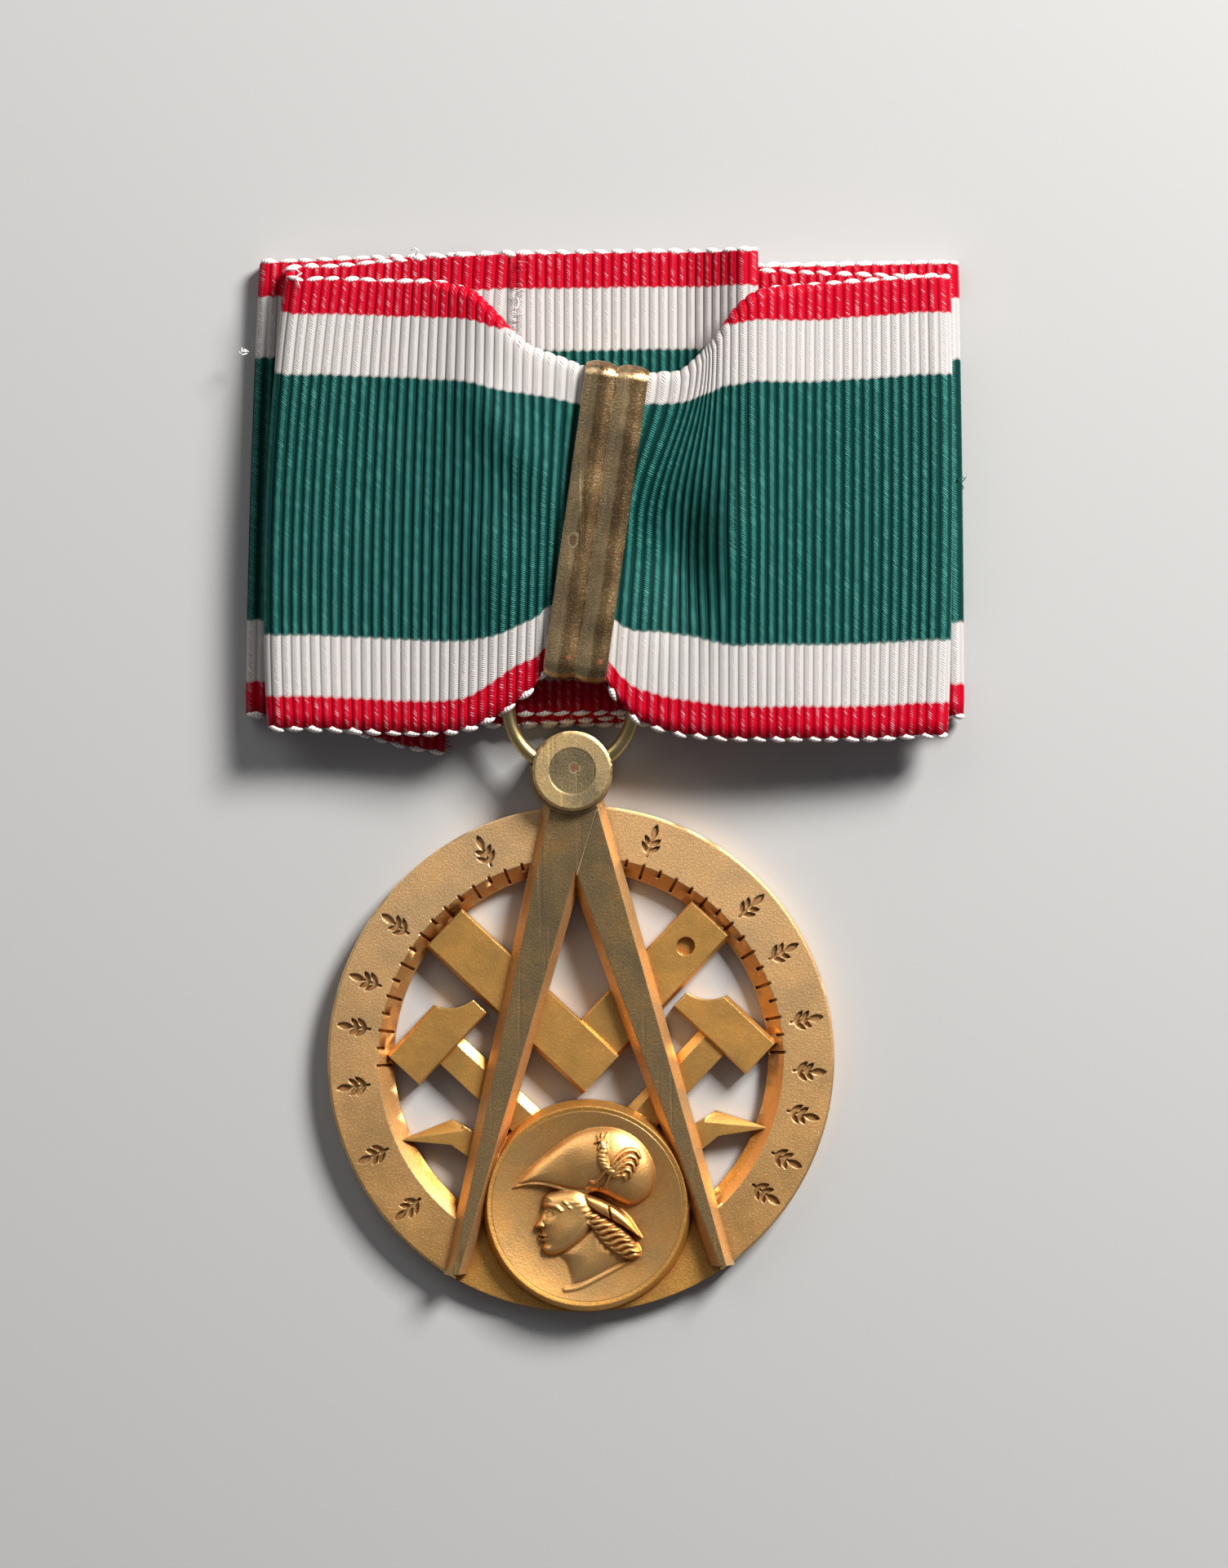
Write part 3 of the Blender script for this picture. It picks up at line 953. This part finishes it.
edge_fade = np.clip((DISC_R - away) / 0.25, 0, 1)
height = field + (height - field) * edge_fade
turned = disc / 1000 @ np.array([[UP[1], -UP[0]], [UP[0], UP[1]]])
top = np.concatenate([turned + np.array(DISC_AT), height[:, None] / 1000], 1)
at = np.arange((GRID + 1) ** 2).reshape(GRID + 1, GRID + 1)
quads = np.stack([at[:-1, :-1], at[1:, :-1], at[1:, 1:], at[:-1, 1:]], 2).reshape(-1, 4)
relief_mesh = bpy.data.meshes.new("medallion_relief")
relief_mesh.from_pydata(top.tolist(), [], quads.tolist())
relief_mesh.polygons.foreach_set("use_smooth", np.ones(len(relief_mesh.polygons), bool))
medallion = bpy.data.objects.new("medallion_relief", relief_mesh)
bpy.context.collection.objects.link(medallion)
choose(medallion)
bpy.ops.object.mode_set(mode="EDIT")
bpy.ops.mesh.select_mode(type="EDGE")
bpy.ops.mesh.select_all(action="DESELECT")
bpy.ops.mesh.select_non_manifold(extend=False, use_boundary=True)
bpy.ops.mesh.extrude_region_move()
bpy.ops.transform.resize(value=(1, 1, 0), center_override=(0, 0, 0))
bpy.ops.mesh.edge_face_add()
bpy.ops.mesh.select_more()
bpy.ops.mesh.faces_shade_flat()
bpy.ops.mesh.select_mode(type="VERT")
bpy.ops.object.mode_set(mode="OBJECT")
medallion.data.materials.append(
    gilt("gilt_relief", (0.96, 0.54, 0.2), (0.25, 0.085, 0.015), rough=0.38, clouds=0.9, worn=0.3,
         specks=0.08, reach=0.0016, corners=(0.97, 0.62)))
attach(medallion, "root")
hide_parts("medal")

# Suspension loop
# One long loop folded from a strip with two pressed ridges, its edges broken and rubbed bright. The
# gilding has gone brown and shows copper low down; a small plain oval is punched in the left ridge.

loop = packed_copy("suspension_loop", "ridged_loop", flat_angle=0.5)
bpy.ops.object.shade_smooth_by_angle(angle=math.radians(24))
even_flats(loop)
loop.data.materials.clear()
loop.data.materials.append(
    gilt("gilt_strip", (0.62, 0.45, 0.25), (0.2, 0.09, 0.035), rough=0.32, metallic=1.0, sand=0.7, clouds=0.2,
         worn=1.0, specks=0.5, scratches=0.7, slopes=(8.05, -6.6, 2.74, (0.25, 0.15, 0.07)),
         corners=(0.985, 0.8),
         spots=[(1.4, 37.9, 2.8, (0.3, 0.2, 0.11)),
                (-2.73, 20.95, 0.46, (0.8, 0.62, 0.38)), (-2.75, 20.5, 0.44, (0.8, 0.62, 0.38)),
                (-2.71, 20.92, 0.3, (0.4, 0.26, 0.12)), (-2.73, 20.55, 0.29, (0.4, 0.26, 0.12)),
                (-3.08, 10.65, 0.2, (0.75, 0.28, 0.12)), (-0.39, 10.22, 0.24, (0.75, 0.28, 0.12))]))
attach(loop, "root")
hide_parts("suspension_loop")

# Link ring
# A ring of round wire, soldered shut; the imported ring's own surface, gilt like the medal.

link_ring = frame["nodes"]["link_ring"]
link_ring.data.materials.clear()
link_ring.data.materials.append(
    gilt("gilt_wire", (0.58, 0.46, 0.22), (0.25, 0.13, 0.04), rough=0.34, metallic=1.0, sand=0.3, clouds=0.6,
         worn=0.6, scratches=0.3))

# Studio
# A pale table and soft light: a large lamp above and to the right, a weak one from the upper left.

bpy.ops.mesh.primitive_plane_add(size=3, location=(0, 0, -0.00015))
table_top = bpy.context.object
table_top.name = "table_top"
pale = bpy.data.materials.new("pale_table")
pale.use_nodes = True
pale.node_tree.nodes["Principled BSDF"].inputs["Base Color"].default_value = (0.42, 0.42, 0.42, 1)
pale.node_tree.nodes["Principled BSDF"].inputs["Roughness"].default_value = 0.9
table_top.data.materials.append(pale)


def lamp(name, place, size, power, colour):
    """A square area lamp that faces the badge."""
    bpy.ops.object.light_add(type="AREA", location=place)
    light = bpy.context.object
    light.name = name
    light.data.size = size
    light.data.energy = power
    light.data.color = colour
    tilt = -light.location.normalized()
    light.rotation_euler = tilt.to_track_quat("-Z", "Y").to_euler()


lamp("key", (0.33, 0.37, 0.36), 0.2, 8.2, (1, 0.98, 0.95))
lamp("fill", (-0.3, 0.42, 0.4), 0.4, 0.8, (1, 0.97, 0.93))
world = bpy.data.worlds.new("studio")
world.use_nodes = True
world.node_tree.nodes["Background"].inputs[0].default_value = (0.9, 0.93, 1, 1)
world.node_tree.nodes["Background"].inputs[1].default_value = 0.13
bpy.context.scene.world = world
bpy.context.scene.view_settings.view_transform = "Standard"
